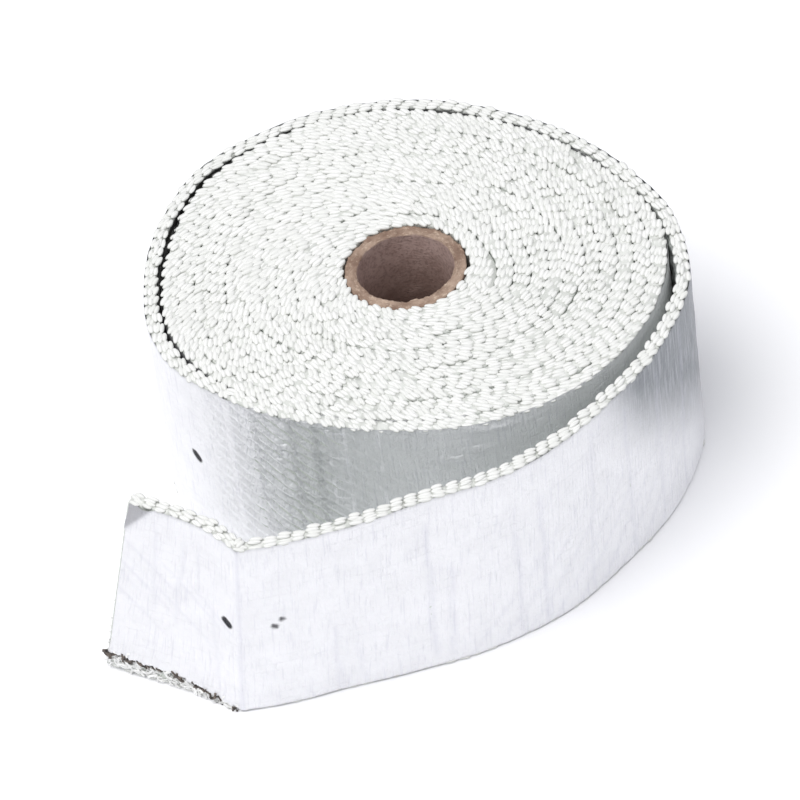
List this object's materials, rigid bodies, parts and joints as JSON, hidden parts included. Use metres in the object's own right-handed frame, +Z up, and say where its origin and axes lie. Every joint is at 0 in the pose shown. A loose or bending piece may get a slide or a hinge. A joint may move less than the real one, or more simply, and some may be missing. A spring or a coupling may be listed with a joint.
{
  "type": "exhaust heat wrap roll",
  "caption": "Roll of foil-faced glass cloth heat wrap on a paper core, standing on its end, with its last turn loose and a creased flap at the tape's end.",
  "frame": {"origin": "middle of the footprint's box, on the floor that the roll stands on", "axes": "+Z up along the roll's axis, -Y towards the creased flap's side, +X towards the side where the tape leaves the coil"},
  "size_m": [0.1354, 0.1398, 0.05],
  "materials": {
    "core_paper": "matt brown paperboard with a rough cut end",
    "foil_faced_cloth": "white woven glass cloth with satin aluminium foil bonded to its outer side"
  },
  "bodies": {
    "root": {"core_tube": "core_paper", "wrap_tape": "foil_faced_cloth"}
  },
  "joints": []
}
